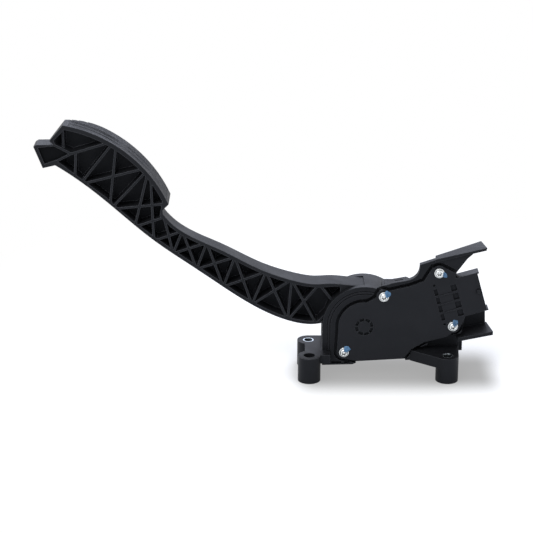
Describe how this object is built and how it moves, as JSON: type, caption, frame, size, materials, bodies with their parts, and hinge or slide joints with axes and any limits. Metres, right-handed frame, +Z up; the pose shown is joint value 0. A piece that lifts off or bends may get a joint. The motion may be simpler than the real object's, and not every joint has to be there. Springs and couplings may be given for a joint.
{
  "type": "accelerator pedal sensor",
  "caption": "Electronic accelerator pedal module: ribbed arm with foot pad, sprung on a drum hub in a footed housing with angle-sensor cover and connector.",
  "frame": {"origin": "midway between the two left feet, on the mounting plane", "axes": "+Z up from the mounting plane, +X from the pad towards the connector, +Y from the cover to the back"},
  "size_m": [0.3509, 0.0524, 0.2004],
  "materials": {
    "housing_plastic": "black glass-filled moulding",
    "cover_plastic": "black moulding, fine satin",
    "arm_plastic": "black glass-filled moulding",
    "steel": "ground",
    "bearing_bronze": "sintered bearing",
    "rotor_plastic": "natural moulding",
    "copper": "etched foil",
    "board": "laminate",
    "chip": "moulded package",
    "terminal_tin": "tinned",
    "screw_steel": "zinc plated",
    "bush_steel": "zinc plated",
    "spring_steel": "oiled",
    "seat_plastic": "natural low-friction moulding",
    "rubber": "moulded"
  },
  "bodies": {
    "housing": {"housing": "housing_plastic", "sensor_cover": "cover_plastic", "pivot_bush_front": "bearing_bronze", "pivot_bush_rear": "bearing_bronze", "circuit_board": "board", "signal_chips": "chip", "connector_pins": "terminal_tin", "cover_screws": "screw_steel", "foot_bush_front_left": "bush_steel", "foot_bush_rear_left": "bush_steel", "foot_bush_front_right": "bush_steel", "return_spring_outer": "spring_steel", "return_spring_inner": "spring_steel", "friction_shoe": "seat_plastic", "rest_stop_buffer": "rubber", "full_stop_buffer": "rubber", "spring_chamber_lid": "housing_plastic"},
    "pedal": {"pedal_arm": "arm_plastic", "pivot_pin": "steel", "pin_retainer": "steel", "sensor_rotor": "rotor_plastic", "rotor_target": "copper", "spring_seat": "seat_plastic"}
  },
  "joints": [
    {"name": "pedal_pivot", "type": "hinge", "parent": "housing", "child": "pedal", "pos_m": [0.0426, 0.00875, 0.0408], "axis": [0, -1, 0], "range_deg": [0, 17], "stiffness_Nm_per_rad": 12, "springref_deg": -20.05, "deforming": ["return_spring_outer", "return_spring_inner"]}
  ]
}
